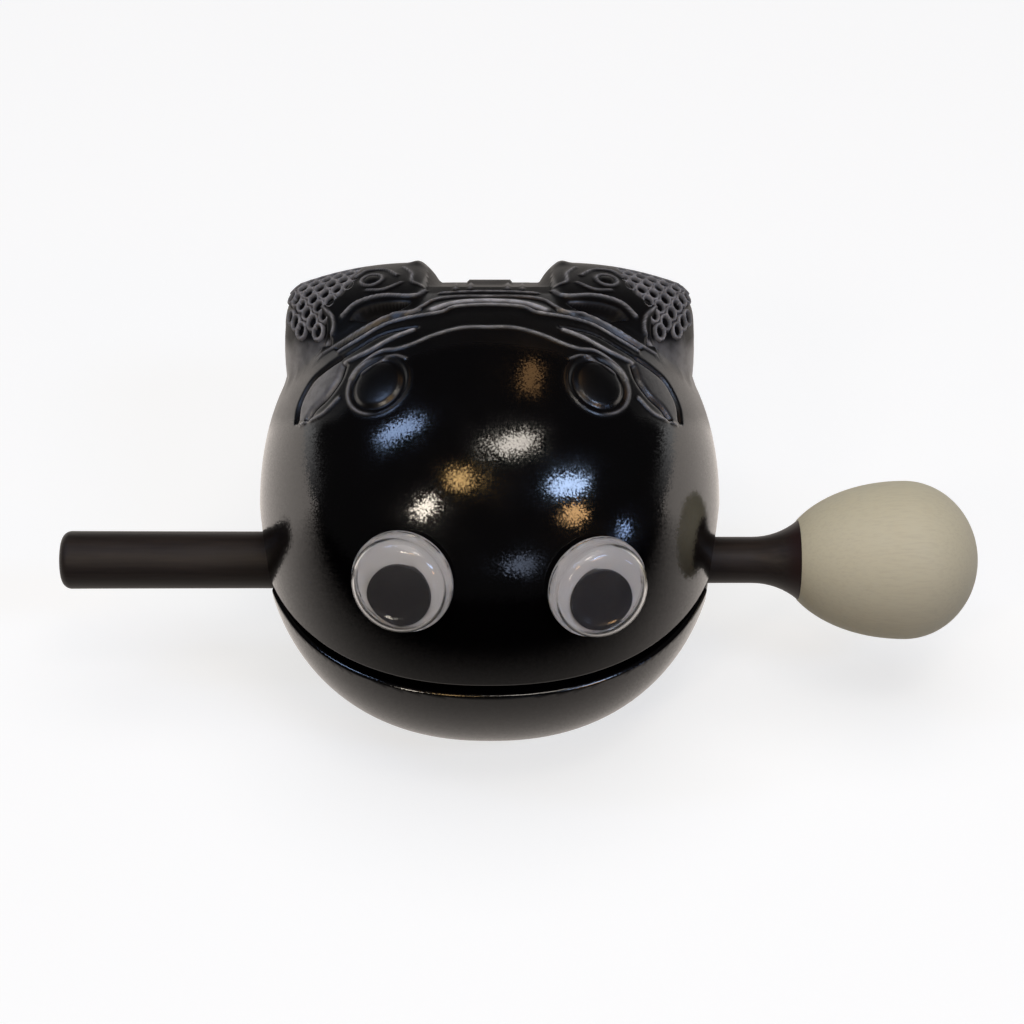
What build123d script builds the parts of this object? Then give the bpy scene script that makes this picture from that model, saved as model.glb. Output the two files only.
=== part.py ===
from build123d import *
import math
import os

# A small wooden fish: a hollow carved block on a flat foot, with its mallet stored through the side holes
# and two wiggle eyes glued to the dome. Millimetres, +Z up, the mouth faces -Y, and the origin is the
# centre of the foot's flat.

# Driving dimensions of the body
body_half_width = 47.5       # middle to cheek
body_radius = 49.0           # round outline seen from the side
body_fullness = 2.25         # 2 is an ellipse, more is squarer at the shoulders
body_wall = 8.0              # dome, jaw and back
cheek_wall = 7.0
floor_wall = 9.0
foot_depth = 41.0            # centre of the ball above the foot's flat
slot_width = 2.8             # mouth, lip to lip
slot_below_centre = 3.0
hole_forward = 10.2          # side holes in front of the centre
hole_radius = 9.2
hole_rim_round = 1.0
profile_steps = 12           # points on a quarter of the ball's outline

# Driving dimensions of the handle: two fish that face each other over a short bar
crest_lean = 38.0            # degrees that the handle lies behind the top
fish_head_at = 15.0          # from the middle of the body to the side
fish_nose_length = 10.0      # head to the tip of the nose
fish_tail_inset = 5.0        # end of the tail inside the cheek
fish_head_rise = 1.3         # crest of the head above the ball's surface
fish_crest_fall = 5.6        # crest, from the head down to the tail
fish_head_depth = 32.0       # middle of the head below the ball's surface
fish_tail_depth = 15.5       # middle of the tail below the ball's surface
fish_tail_round = 4.5
fish_sections = 7            # round sections that shape a fish from head to tail
saddle_depth = 3.2           # cut between the noses, below the ball's surface
saddle_half_width = 12.5
bar_half_width = 4.5
bar_radius = 18.8
bar_depth = 21.0             # middle of the bar below the ball's surface

# Driving dimensions of the carving. The brow is a set of rings round the way that the face looks.
brow_ridges_out = (28.8, 35.0)      # high and low ridge, from the centre along that way
brow_ridge_width = 1.1
brow_ridge_rise = 0.45
brow_end_up = 27.0                  # where the ridges end, from the middle of the face upwards
leaf_grooves_out = (27.3, 32.0)     # grooves at both edges of the leaf fin beside a carved eye
leaf_groove_width = 1.2
leaf_groove_depth = 0.9
leaf_bottom_up = 16.0
leaf_top_up = 28.0
carved_eye_across = 21.4
carved_eye_up = 23.2
carved_eye_radius = 4.8
carved_eye_rise = 0.75
eye_moat_radius = 5.5
eye_moat_round = 0.6
mouth_inner = (15.4, 40.0)          # corners of a fish's mouth, to the side and up the face
mouth_outer = (28.0, 36.6)
mouth_depth = 2.1

# Driving dimensions of the mallet
stick_tail = 88.5            # free end to the middle of the body
grip_radius = 6.0
grip_length = 43.0
grip_waist_radius = 5.9      # where the grip ends and the long taper starts
neck_radius = 4.8
neck_start = 48.0            # past the middle of the body
flare_start = 54.3
collar_at = 63.7
collar_radius = 8.2
tail_round = 2.0
tenon_radius = 3.5
tenon_length = 16.0
tenon_point = 0.8
head_length = 37.1
head_radius = 16.4
head_widest_at = 22.0        # from the collar
head_foot_radius = 8.4       # where the head meets the collar

# Driving dimensions of the wiggle eyes
face_tilt = 45.0             # degrees that the face looks up
left_eye_across = -15.9
left_eye_drop = 14.3         # below the middle of the face, along it
right_eye_across = 20.4
right_eye_drop = 15.3
eye_radius = 10.0
eye_back_thickness = 0.5
flange_thickness = 0.4
dome_radius = 9.6
dome_shoulder_radius = 6.4
dome_side_height = 2.2
dome_shoulder_height = 4.4
dome_height = 4.9
dome_wall = 0.45
dome_draft = 0.22            # the dome's side leans in by this much at its top
pupil_radius = 6.15
pupil_thickness = 0.8
glue_radius = 7.5
glue_thickness = 0.7         # at the middle of the pad

# Fits
stick_rest_clearance = 0.3   # stick above the bottom of the holes
tenon_clearance = 0.05       # glue line round the tenon
socket_spare_depth = 1.0
pupil_float = 0.12           # pupil above its backing disc
pupil_roll_clearance = 0.15  # pupil to the wall of the dome
glue_seat_clearance = 0.02   # glue pad to the lacquer

# Places that follow from them
centre = Vector(0, 0, foot_depth)
hole_height = foot_depth - slot_below_centre
stick_height = hole_height - (hole_radius - grip_radius - stick_rest_clearance)
past_body = 2.5 * body_radius
face_out = Vector(0, -math.cos(math.radians(face_tilt)), math.sin(math.radians(face_tilt)))
face_down = Vector(0, -math.sin(math.radians(face_tilt)), -math.cos(math.radians(face_tilt)))
crest_up = Vector(0, math.sin(math.radians(crest_lean)), math.cos(math.radians(crest_lean)))
crest_frame = Plane(origin=centre, x_dir=(1, 0, 0), z_dir=crest_up)
crest_back = Plane(origin=centre, z_dir=Vector(1, 0, 0).cross(crest_up))
face_frame = Plane(origin=centre, x_dir=(1, 0, 0), z_dir=face_out)
fish_tail_at = body_half_width - fish_tail_inset
stick_axis = Vector(0, -hole_forward, stick_height)


def turned(outline, place):
    """A solid turned about the side-to-side axis from its half outline, then moved to its axis."""
    return Pos(*place) * revolve(make_face(outline), Axis.X)


def ball(half_width, radius):
    """The full, slightly squared ball that the body is cut from, as a left and a right half."""
    power = 2 / body_fullness
    points = []
    for step in range(profile_steps):
        angle = math.pi / 2 * step / profile_steps
        points.append((half_width * math.sin(angle) ** power, radius * math.cos(angle) ** power))
    points.append((half_width, 0))
    right = Spline(*points, tangents=[(1, 0), (0, -1)])
    left = Spline(*[(-across, out) for across, out in points], tangents=[(-1, 0), (0, -1)])
    return turned([right, left, Line(right @ 1, left @ 1)], centre)


def ball_section(across):
    """Radius of the ball's round section at a distance to the side."""
    share = 1 - (abs(across) / body_half_width) ** body_fullness
    return body_radius * share ** (1 / body_fullness)


def fish_section(across):
    """Middle, along the crest from the ball's centre, and radius of a fish at a distance to the side."""
    share = (across - fish_head_at) / (fish_tail_at - fish_head_at)
    middle = body_radius - fish_head_depth + share * (fish_head_depth - fish_tail_depth)
    crest = body_radius + fish_head_rise - share ** 2 * fish_crest_fall
    return middle, crest - middle


def right_fish():
    """The right fish of the handle: a blunt nose, a full head and a body that narrows to the tail."""
    rings = []
    for step in range(fish_sections):
        across = fish_head_at + (fish_tail_at - fish_head_at) * step / (fish_sections - 1)
        middle, radius = fish_section(across)
        place = centre + crest_up * middle + Vector(across, 0, 0)
        rings.append(Plane(origin=place, x_dir=crest_up, z_dir=(1, 0, 0)) * Circle(radius))
    body = loft(rings)
    body = fillet(body.faces().sort_by(Axis.X)[-1].edges(), fish_tail_round)
    middle, girth = fish_section(fish_head_at)
    curve = EllipticalCenterArc((fish_head_at, 0), fish_nose_length, girth, start_angle=90, arc_size=90)
    nose = [curve, Polyline(curve @ 1, (fish_head_at, 0), curve @ 0)]
    return body + turned(nose, centre + crest_up * middle)


def side_cylinder(radius, half_length, place):
    """A cylinder along the side-to-side axis, centred on a point of that axis."""
    return Pos(*place) * Rot(0, 90, 0) * Cylinder(radius, 2 * half_length)


def brow_slab(out, width, low, high):
    """A slab square to the way that the face looks, between two heights on the face."""
    return face_frame * Pos(0, (low + high) / 2, out) * Box(past_body, high - low, width)


def carve_brow(block):
    """The block with the two ridges of its brow and the grooves at the edges of its leaf fins."""
    raised = ball(body_half_width + brow_ridge_rise, body_radius + brow_ridge_rise)
    for out in brow_ridges_out:
        block += brow_slab(out, brow_ridge_width, brow_end_up, body_radius) & raised
    kept = ball(body_half_width - leaf_groove_depth, body_radius - leaf_groove_depth)
    for out in leaf_grooves_out:
        block -= brow_slab(out, leaf_groove_width, leaf_bottom_up, leaf_top_up) - kept
    return block


def carve_eyes(block):
    """The block with a low boss in a round moat for each carved eye."""
    sphere_radius = (carved_eye_radius ** 2 + carved_eye_rise ** 2) / (2 * carved_eye_rise)
    moat_drop = eye_moat_radius ** 2 / (2 * body_radius)
    for across in (-carved_eye_across, carved_eye_across):
        plane = dome_plane(across, -carved_eye_up, 0)
        block += plane * Pos(0, 0, carved_eye_rise - sphere_radius) * Sphere(sphere_radius)
        block -= plane * Pos(0, 0, -moat_drop) * Torus(eye_moat_radius, eye_moat_round)
    return block


def flank_point(across, up):
    """The point of the right fish's flank at a distance to the side and a height on the face."""
    middle, radius = fish_section(across)
    axis = crest_up * middle
    out = axis.dot(face_out) + math.sqrt(radius ** 2 - (up + axis.dot(face_down)) ** 2)
    return centre + Vector(across, 0, 0) - face_down * up + face_out * out


def fish_mouths():
    """Pointed hollows for the mouths of both fish, before and behind the crest."""
    inner = flank_point(*mouth_inner)
    outer = flank_point(*mouth_outer)
    half_length = (outer - inner).length / 2
    bow = ThreePointArc((-half_length, 0), (0, mouth_depth), (half_length, 0))
    lens = revolve(make_face([bow, Line(bow @ 1, bow @ 0)]), Axis.X)
    front = Plane(origin=(inner + outer) / 2, x_dir=outer - inner, z_dir=face_out) * lens
    pair = [front, mirror(front, crest_back)]
    return pair + [mirror(pocket, Plane.YZ) for pocket in pair]


def carved_body():
    """The one wooden block: ball, handle, carving, foot, sound chamber, side holes and mouth slot."""
    saddle_cut = crest_frame * Pos(0, 0, body_radius - saddle_depth) * Box(
        2 * saddle_half_width, past_body, past_body, align=(Align.CENTER, Align.CENTER, Align.MIN)
    )
    block = ball(body_half_width, body_radius) - saddle_cut
    fish = right_fish()
    block += fish
    block += mirror(fish, Plane.YZ)
    bar_middle = centre + crest_up * (body_radius - bar_depth)
    block += side_cylinder(bar_radius, bar_half_width, bar_middle)
    block = carve_eyes(carve_brow(block))
    for pocket in fish_mouths():
        block -= pocket
    block -= Box(past_body, past_body, past_body, align=(Align.CENTER, Align.CENTER, Align.MAX))
    chamber = ball(body_half_width - cheek_wall, body_radius - body_wall)
    chamber -= Pos(0, 0, floor_wall) * Box(
        past_body, past_body, past_body, align=(Align.CENTER, Align.CENTER, Align.MAX)
    )
    block -= chamber

    hole_axis = Vector(0, -hole_forward, hole_height)
    block -= side_cylinder(hole_radius, past_body, hole_axis)
    rims = [edge for edge in block.edges() if is_hole_rim(edge, hole_axis)]
    block = fillet(rims, hole_rim_round)

    mouth = Pos(0, -hole_forward, hole_height) * Box(
        past_body, past_body, slot_width, align=(Align.CENTER, Align.MAX, Align.CENTER)
    )
    return block - mouth


def is_hole_rim(edge, hole_axis):
    """True for an edge that runs round the outer end of a side hole."""
    middle = edge @ 0.5
    off_axis = math.hypot(middle.Y - hole_axis.Y, middle.Z - hole_axis.Z)
    outside = abs(middle.X) > body_half_width - cheek_wall / 2
    return outside and abs(off_axis - hole_radius) < hole_rim_round / 10


def mallet_stick():
    """The turned stick: rounded tail, grip, long taper to the neck, flared collar and tenon."""
    tail_end = Line((-stick_tail, 0), (-stick_tail, grip_radius - tail_round))
    tail_arc = RadiusArc(tail_end @ 1, (tail_round - stick_tail, grip_radius), tail_round)
    grip = Line(tail_arc @ 1, (grip_length - stick_tail, grip_waist_radius))
    taper = Spline(grip @ 1, (neck_start, neck_radius), tangents=[grip % 1, (1, 0)])
    neck = Line(taper @ 1, (flare_start, neck_radius))
    flare = TangentArc(neck @ 1, (collar_at, collar_radius), tangent=(1, 0))
    tenon = Polyline(
        flare @ 1,
        (collar_at, tenon_radius),
        (collar_at + tenon_length - tenon_point, tenon_radius),
        (collar_at + tenon_length, tenon_radius - tenon_point),
        (collar_at + tenon_length, 0),
        tail_end @ 0,
    )
    return turned([tail_end, tail_arc, grip, taper, neck, flare, tenon], stick_axis)


def mallet_head():
    """The turned egg, widest towards its striking end, with a blind socket for the tenon."""
    share = math.sqrt(1 - (head_foot_radius / head_radius) ** 2)
    rear_length = head_widest_at / share
    middle = (collar_at + head_widest_at, 0)
    front_length = head_length - head_widest_at
    front = EllipticalCenterArc(middle, front_length, head_radius, start_angle=0, arc_size=90)
    rear_angle = math.degrees(math.acos(head_foot_radius / head_radius))
    rear = EllipticalCenterArc(middle, rear_length, head_radius, start_angle=90, arc_size=rear_angle)
    socket_radius = tenon_radius + tenon_clearance
    socket_end = collar_at + tenon_length + socket_spare_depth
    inside = Polyline(
        rear @ 1,
        (collar_at, socket_radius),
        (socket_end, socket_radius),
        (socket_end, 0),
        front @ 0,
    )
    return turned([front, rear, inside], stick_axis)


def dome_plane(across, drop, lift):
    """A plane on the dome or lifted off it, square to it, with its Y axis as upright as it lies."""
    power = body_fullness
    section = ball_section(across)
    out = math.sqrt(section ** 2 - drop ** 2)
    offset = Vector(across, 0, 0) + face_down * drop + face_out * out
    side_slope = math.copysign(abs(across) ** (power - 1) / body_half_width ** power, across)
    round_slope = section ** (power - 2) / body_radius ** power
    normal = Vector(side_slope, round_slope * offset.Y, round_slope * offset.Z).normalized()
    upright = (Vector(0, 0, 1) - normal * normal.Z).normalized()
    return Plane(origin=centre + offset + normal * lift, x_dir=upright.cross(normal), z_dir=normal)


def eye_glue(plane):
    """The glue pad between the flat eye and the round dome."""
    pad = plane * Cylinder(glue_radius, body_wall, align=(Align.CENTER, Align.CENTER, Align.MAX))
    return pad - ball(body_half_width + glue_seat_clearance, body_radius + glue_seat_clearance)


def dome_outline(inset):
    """The dome's half outline above its flange, drawn in by a wall thickness, as points and arcs."""
    base = eye_back_thickness
    foot = (dome_radius - inset, base)
    side_top = (dome_radius - inset - dome_draft, base + dome_side_height)
    shoulder = (dome_shoulder_radius - inset / 2, base + dome_shoulder_height - inset)
    crown = (0, base + dome_height - inset)
    side = Line(foot, side_top)
    bend = TangentArc(side @ 1, shoulder, tangent=side % 1)
    top = Spline(bend @ 1, crown, tangents=[bend % 1, (-1, 0)])
    return [side, bend, top]


def dome_solid(inset):
    """The dome's outside, or with an inset its hollow, as a solid that stands on the backing disc."""
    base = eye_back_thickness
    outline = dome_outline(inset)
    closing = Polyline((0, base + dome_height - inset), (0, base), (dome_radius - inset, base))
    return revolve(Plane.XZ * make_face(outline + [closing]), Axis.Z)


def eye_dome(plane):
    """The clear moulded dome: a thin shell with a flat flange at its foot."""
    flange = Pos(0, 0, eye_back_thickness) * Cylinder(
        eye_radius, flange_thickness, align=(Align.CENTER, Align.CENTER, Align.MIN)
    )
    return plane * (dome_solid(0) + flange - dome_solid(dome_wall))


def eye_back(plane):
    """The white backing disc."""
    return plane * Cylinder(eye_radius, eye_back_thickness, align=(Align.CENTER, Align.CENTER, Align.MIN))


def eye_pupil(plane):
    """The loose pupil, lying at the lowest place in its dome."""
    chamber_radius = dome_radius - dome_wall - dome_draft
    roll = chamber_radius - pupil_radius - pupil_roll_clearance
    disc = Cylinder(pupil_radius, pupil_thickness, align=(Align.CENTER, Align.CENTER, Align.MIN))
    return plane * Pos(0, -roll, eye_back_thickness + pupil_float) * disc


nodes = {
    "carved_body": carved_body(),
    "mallet_stick": mallet_stick(),
    "mallet_head": mallet_head(),
}
eye_places = {
    "left": dome_plane(left_eye_across, left_eye_drop, glue_thickness),
    "right": dome_plane(right_eye_across, right_eye_drop, glue_thickness),
}
for side, plane in eye_places.items():
    nodes[side + "_eye_glue"] = eye_glue(plane)
    nodes[side + "_eye_back"] = eye_back(plane)
    nodes[side + "_eye_dome"] = eye_dome(plane)
    nodes[side + "_eye_pupil"] = eye_pupil(plane)

os.makedirs("parts", exist_ok=True)
for name, solid in nodes.items():
    export_step(solid, "parts/" + name + ".step")
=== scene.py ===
import math
from functools import partial

import bmesh
import bpy
import numpy as np
from mathutils import Matrix, Vector


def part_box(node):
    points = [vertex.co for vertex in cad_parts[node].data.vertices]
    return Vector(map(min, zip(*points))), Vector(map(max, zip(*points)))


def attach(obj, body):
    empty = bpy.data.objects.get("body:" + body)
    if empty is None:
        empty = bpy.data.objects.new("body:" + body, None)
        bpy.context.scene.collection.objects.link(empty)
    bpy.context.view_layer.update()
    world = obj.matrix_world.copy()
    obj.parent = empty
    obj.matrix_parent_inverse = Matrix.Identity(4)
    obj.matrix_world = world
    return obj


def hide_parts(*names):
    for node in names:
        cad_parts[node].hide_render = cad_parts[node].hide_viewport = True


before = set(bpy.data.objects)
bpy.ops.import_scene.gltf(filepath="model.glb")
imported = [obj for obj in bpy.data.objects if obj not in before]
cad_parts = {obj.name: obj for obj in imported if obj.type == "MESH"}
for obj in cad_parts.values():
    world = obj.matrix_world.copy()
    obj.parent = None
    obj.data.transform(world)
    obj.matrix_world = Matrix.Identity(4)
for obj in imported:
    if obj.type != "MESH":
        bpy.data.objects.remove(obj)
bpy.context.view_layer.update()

bl_info = {
    "name": "Mokugyo wooden fish",
    "version": (1, 0, 0),
    "blender": (4, 5, 0),
    "location": "View3D > Sidebar > Wooden fish",
    "description": "Dresses the wooden fish: lacquered carving, fish scales, mallet, wiggle eyes and stage",
    "category": "Object",
}

MM = 0.001

# Sizes of the carved block, in millimetres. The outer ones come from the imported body.
BODY_HIGH = np.array(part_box("carved_body")[1]) / MM
HALF_WIDTH, RADIUS = BODY_HIGH[:2]
CENTRE = np.array((0.0, 0.0, 41.0))
FULLNESS = 2.25    # 2 is an ellipse, more is squarer at the shoulders
WALL = 8.0
CHEEK_WALL = 7.0
FLOOR_WALL = 9.0
SLOT_WIDTH = 2.8
SLOT_DROP = 3.0    # slot and side holes below the centre of the ball
SLOT_HALF_TURN = 1.36    # radians from the front to either end
HOLE_RADIUS = 9.2
HOLE_FORWARD = 10.2

# The face looks up at 45 degrees, and the handle lies behind the top
FACE_TILT = math.radians(45)
CREST_LEAN = math.radians(38)
ACROSS = np.array((1.0, 0.0, 0.0))
UP = np.array((0.0, math.sin(FACE_TILT), math.cos(FACE_TILT)))
OUT = np.array((0.0, -math.cos(FACE_TILT), math.sin(FACE_TILT)))
FACE_AXES = np.array((ACROSS, UP, OUT))
CREST = FACE_AXES @ np.array((0.0, math.sin(CREST_LEAN), math.cos(CREST_LEAN)))
BEHIND = np.array((0.0, CREST[2], -CREST[1]))

# The two facing fish of the handle and the bar between them
HEAD_AT = 15.0
NOSE_LENGTH = 10.0
TAIL_AT = HALF_WIDTH - 5.0
TAIL_ROUND = 4.5
HEAD_CREST = RADIUS + 1.3
CREST_FALL = 5.6
HEAD_MIDDLE = RADIUS - 32.0
TAIL_MIDDLE = RADIUS - 15.5
SADDLE_HEIGHT = RADIUS - 3.2
SADDLE_HALF_WIDTH = 12.5
BAR_HALF_WIDTH = 4.5
BAR_RADIUS = 18.8
BAR_MIDDLE = RADIUS - 21.0
PROUD_FROM = 0.3    # the handle stands clear of the ball from here
JOIN_ROUND = 0.6    # rounding where ball, fish and bar meet
SMOOTH_ANGLE = math.radians(40)

# Carving on the right half of the face, as (across, up) in millimetres. The left half mirrors it.
BROW_EDGE = [
    (0, 41.0), (9.7, 40.7), (12.8, 39.2), (15.2, 38.0), (19.0, 37.5), (23.8, 35.2), (29.9, 31.6), (34.5, 28.9),
]
BROW_LOW = [
    (0, 34.4), (5.0, 34.3), (10.0, 33.0), (14.4, 31.2), (17.6, 30.2), (20.5, 29.9), (23.2, 28.4),
    (25.6, 26.2), (26.6, 24.4),
]
BROW_MIDDLE = [(14.5, 34.0), (17.5, 32.9), (20.0, 31.7), (23.2, 29.9), (28.1, 27.6)]
BROW_HIGH = [(0, 39.2), (6.5, 38.8), (9.6, 37.6), (15.9, 36.6), (20.2, 35.4), (25.2, 32.6), (29.4, 30.1)]
BROW_BACK = [(0, 40.0), (6.5, 39.6), (11.0, 38.2)]
BROW_GROOVE = [(14.0, 34.6), (20.5, 33.4), (25.0, 31.0), (28.6, 28.9)]
EDGE_GROOVE = [(13.5, 38.2), (17.1, 37.0), (20.3, 36.2), (25.3, 33.6), (29.9, 30.9)]
SADDLE_BEAD = [(0, 42.2), (6.0, 42.1), (9.6, 41.9)]
INNER_RIB = [(3.7, 42.8), (3.7, 44.8)]
OUTER_RIB = [(6.6, 42.7), (6.6, 44.5)]
LEAF_OUTSIDE = [(29.2, 28.6), (32.2, 26.7), (34.7, 24.6), (36.6, 21.5), (37.5, 19.0), (37.7, 16.5)]
LEAF_INSIDE = [(28.3, 27.0), (29.2, 24.2), (31.4, 21.1), (33.9, 18.8), (35.3, 16.8)]
LEAF_FOOT = [(29.0, 20.6), (32.3, 17.5), (36.8, 15.6)]
EYELID = [(15.8, 28.2), (18.2, 28.8), (21.3, 27.5), (24.4, 25.2)]
CARVED_EYE = (21.4, 23.2)

# Carving on the right fish, before the crest. The left fish and the back mirror it.
MOUTH = [(28.0, 36.4), (25.7, 39.0), (21.0, 40.3), (15.4, 40.2), (17.7, 38.2), (22.7, 36.2)]
LIP = [(29.2, 37.4), (26.2, 40.2), (21.0, 41.6), (15.0, 41.4), (12.6, 42.4)]
GILL = [(33.4, 39.6), (31.2, 37.4), (31.0, 34.4), (33.0, 32.0)]
FIN_NOTCH = [(34.6, 31.2), (31.6, 34.6), (31.2, 31.4)]
SCALES_FROM = [(33.5, 30.0), (32.0, 34.4), (32.2, 37.4), (33.6, 39.6), (29.6, 42.0), (27.6, 45.0), (26.0, 48.5)]
FISH_EYE = (23.6, 45.2)
NOSTRIL = (14.6, 49.2)
FISH_BROW = [(27.0, 45.8), (24.6, 47.4), (21.2, 47.6), (18.6, 46.2)]
WHISKER = [(24.4, 42.9), (21.0, 43.0), (17.6, 44.4)]
SNOUT_FOLD = [(17.4, 48.2), (15.6, 46.6), (15.4, 44.6), (13.4, 43.6)]
SCALE_BED = 1.0    # the wood under the scales is cut this much lower
SCALES_DOWN_TO = 34.6    # the flank below is smooth

# Lines of the carving: height or depth as a share of its size, half width in millimetres, and how pale a ridge is
# painted: rubbed wear and a painted sheen where the lacquer would mirror the bright room
RIDGES = (
    (BROW_LOW, 0.5, 0.36, 0.6), (BROW_MIDDLE, 0.7, 0.46, 0.9), (BROW_HIGH, 0.7, 0.36, 0.75),
    (BROW_BACK, 0.7, 0.9, 1.0), (BROW_EDGE, 0.6, 0.36, 0.6), (SADDLE_BEAD, 0.5, 0.36, 0.55),
    (INNER_RIB, 0.7, 0.5, 0.4), (OUTER_RIB, 0.7, 0.5, 0.4), (EYELID, 0.4, 0.34, 0.4), (LEAF_FOOT, 0.5, 0.36, 0.6),
)
GROOVES = ((LEAF_OUTSIDE, 1.0, 0.6), (LEAF_INSIDE, 1.0, 0.7), (BROW_GROOVE, 0.5, 0.4), (EDGE_GROOVE, 0.6, 0.4))
FOLDS = (
    (LIP, 0.8, 0.37, 0.65), (GILL, 0.7, 0.37, 0.6), (FISH_BROW, 0.7, 0.38, 0.5), (WHISKER, 0.5, 0.34, 0.45),
    (SNOUT_FOLD, 0.5, 0.38, 0.5),
)
HOLLOWS = ((MOUTH, 1.0), (FIN_NOTCH, 0.5))
HOLLOW_EDGE = 1.3    # width of a hollow's sloping edge
SHEEN_WIDTH = 0.6    # share of a ridge's half width painted pale, as wear and sheen

# Forms of the eyes: heights and half widths in millimetres, places as shares of the eye's radius
EYE_BOSS, EYE_BOSS_AT = 0.55, 0.74
EYE_RING, EYE_RING_HALF, EYE_RING_SHEEN_HALF = 0.2, 0.32, 0.22
EYE_MOAT, EYE_MOAT_HALF, EYE_MOAT_AT = 0.3, 0.45, 0.84
FISH_EYE_BOSS, FISH_EYE_BOSS_AT = 0.5, 0.7
FISH_EYE_RING, FISH_EYE_RING_HALF, FISH_EYE_SHEEN_HALF = 0.4, 0.4, 0.25
NOSTRIL_RISE, NOSTRIL_HALF = 0.6, 1.9

# Shares of dull lacquer and of pale grey, which is rubbed wear and painted sheen
BROW_DULL, BROW_DULL_OUT, BROW_DULL_UP = 0.55, 39.5, 14.0
HANDLE_DULL, FLANK_DULL, EYE_DULL = 0.9, 0.45, 0.42
# Painted sheen: the left leaf fin is painted paler than the right, one side lighter where the light falls
LEFT_LEAF_SHEEN, RIGHT_LEAF_SHEEN = 0.28, 0.05
EYE_SHEEN, FLANK_SHEEN = 0.4, 0.2

# Widths over which these places fade, in millimetres
BROW_FADE_OUT, BROW_FADE_UP, SADDLE_FADE, EYE_FADE, EYE_DULL_PAST = 2.5, 4.0, 2.0, 3.0, 1.5
SCALED_PAST, SCALED_FADE = 2.5, 2.0


def linear(hex_text):
    """An sRGB hex colour as linear red, green and blue."""
    levels = [int(hex_text[i:i + 2], 16) / 255 for i in (1, 3, 5)]
    return tuple(v / 12.92 if v <= 0.04045 else ((v + 0.055) / 1.055) ** 2.4 for v in levels)


def length(name, description, millimetres):
    """A length property with its default in millimetres."""
    return bpy.props.FloatProperty(
        name=name, description=description, default=millimetres * MM, min=0.0, unit="LENGTH", precision=5
    )


def colour(name, description, hex_text):
    """A colour property with its default as an sRGB hex value."""
    return bpy.props.FloatVectorProperty(
        name=name, description=description, default=linear(hex_text), min=0.0, max=1.0, subtype="COLOR"
    )


class CarvingSizes(bpy.types.PropertyGroup):
    """Sizes of the carving that a maker would change."""

    ridge_rise: length("Ridge rise", "Height of the ridges of the brow", 0.7)
    groove_depth: length("Groove depth", "Depth of the cuts round the leaf fins", 0.9)
    mouth_depth: length("Mouth depth", "Depth of the mouths of the handle's fish", 2.6)
    eye_radius: length("Eye radius", "Outer radius of a carved eye", 6.5)
    fish_eye_radius: length("Fish eye radius", "Radius of the eyes of the handle's fish", 2.2)
    lip_round: length("Lip round", "Rounding of the lips of the mouth slot", 1.0)
    rim_round: length("Rim round", "Rounding of the rims of the side holes", 1.0)
    scale_pitch: length("Scale pitch", "Distance between fish scales in a row", 2.4)
    scale_row: length("Scale row", "Distance between rows of fish scales", 3.0)
    scale_depth: length("Scale depth", "Depth of the pit in a fish scale", 0.9)


class FinishColours(bpy.types.PropertyGroup):
    """Colours of the finishes."""

    lacquer: colour("Lacquer", "Black lacquer of the body", "#040304")
    # Painted sheen: this pale grey stands in for reflections along the carving's edges, as well as rubbed wear
    wear_and_sheen: colour("Rubbed lacquer", "Lacquer rubbed grey on the edges of the carving", "#c2bfc2")
    stain_light: colour("Stain, pale grain", "Pale grain of the stained stick", "#2e2622")
    stain_dark: colour("Stain, dark grain", "Dark grain of the stained stick", "#221b18")
    stain_end: colour("Stain, collar end", "Reddish end of the stick's collar", "#291917")
    head_pale: colour("Head, pale wood", "Pale wood of the mallet head", "#d6cdb1")
    head_grain: colour("Head, grain", "Grain of the mallet head", "#cec4a9")
    backing: colour("Eye backing", "White backing disc of a wiggle eye", "#adaaa7")
    pupil: colour("Eye pupil", "Loose black pupil", "#1d1b1c")
    floor: colour("Floor", "Pale floor of the stage", "#a8a8a8")


class StageSizes(bpy.types.PropertyGroup):
    """Camera, lamps and floor."""

    camera_distance: length("Camera distance", "Camera to the middle of the view", 500)
    lens: bpy.props.FloatProperty(
        name="Lens", description="Focal length of the camera", default=84.3, min=1.0, unit="CAMERA"
    )
    lamp_distance: length("Lamp distance", "Lamps to the dome", 1200)
    overhead_height: length("Overhead height", "Soft overhead light above the floor", 1600)
    floor_width: length("Floor width", "Side of the square floor", 20000)


def add_node(tree, family, kind, inputs=None, **settings):
    """A node with its settings. Its inputs are values, sockets to link, or nodes for their first output."""
    node = tree.nodes.new(family + kind)
    for name, value in settings.items():
        setattr(node, name, value)
    for key, value in (inputs or {}).items():
        value = value.outputs[0] if isinstance(value, bpy.types.Node) else value
        if isinstance(value, bpy.types.NodeSocket):
            tree.links.new(value, node.inputs[key])
        else:
            node.inputs[key].default_value = value
    return node


def new_material(name):
    """An empty node material and what adds a node to it."""
    material = bpy.data.materials.new(name)
    material.use_nodes = True
    material.node_tree.nodes.clear()
    return material, partial(add_node, material.node_tree, "ShaderNode")


def per_metre(millimetres):
    """The noise scale whose features are about that size."""
    return 1 / (millimetres * MM)


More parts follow.
